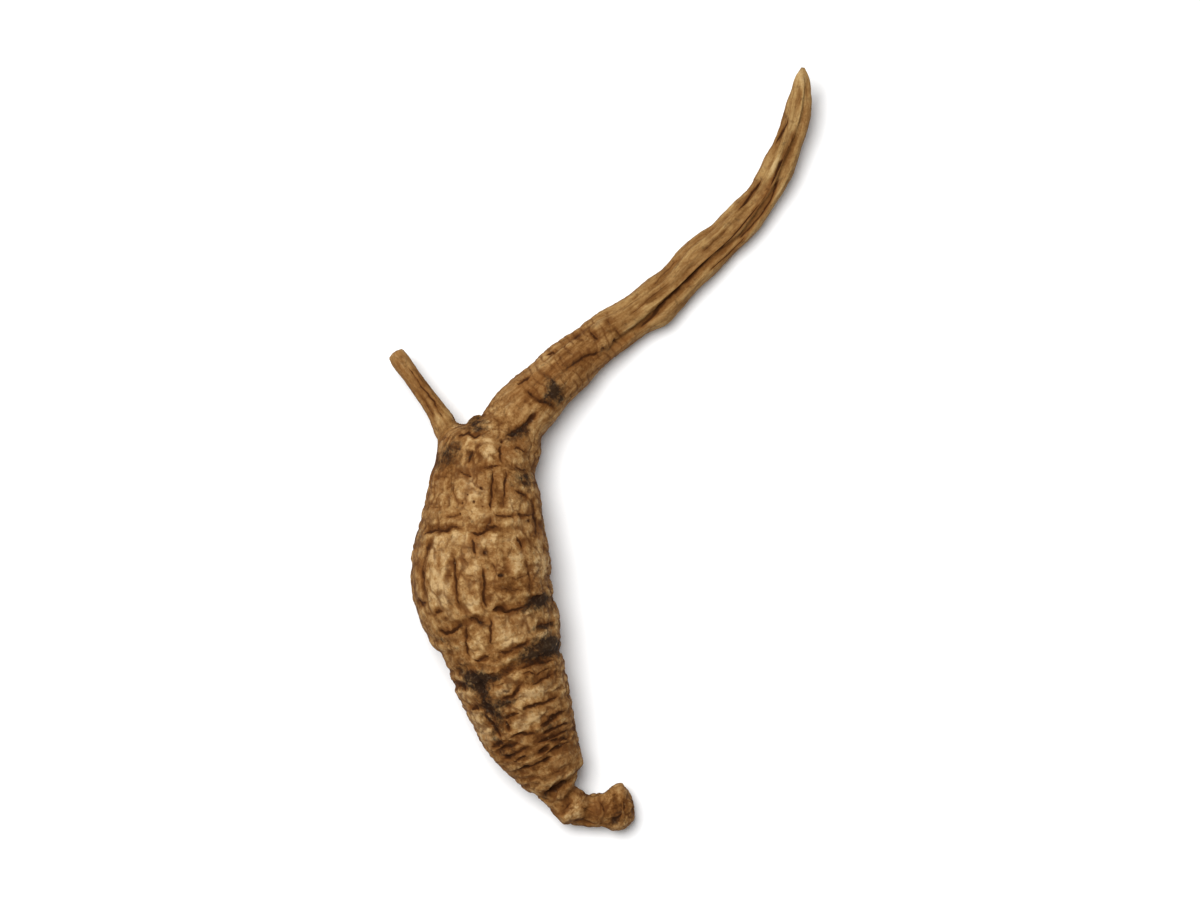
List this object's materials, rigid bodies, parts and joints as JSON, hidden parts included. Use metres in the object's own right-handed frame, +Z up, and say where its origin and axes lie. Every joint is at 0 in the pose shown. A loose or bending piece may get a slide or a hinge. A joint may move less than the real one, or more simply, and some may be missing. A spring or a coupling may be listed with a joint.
{
  "type": "dried ginseng root",
  "caption": "Dried ginseng root with a knobbly neck, a ringed and cracked spindle-shaped body, a short side rootlet and a long curved tail, lying on its belly.",
  "frame": {"origin": "on the surface that the root lies on, below the middle of its bounding box", "axes": "+Y from the neck end towards the tip of the tail root, +Z up from the surface that the root lies on"},
  "size_m": [0.0408, 0.0736, 0.0123],
  "materials": {
    "dried_skin": "matt brown dried bark, paler on the raised pads and dark in the creases, with black soil stains"
  },
  "bodies": {
    "root": {"ginseng_root": "dried_skin"}
  },
  "joints": []
}
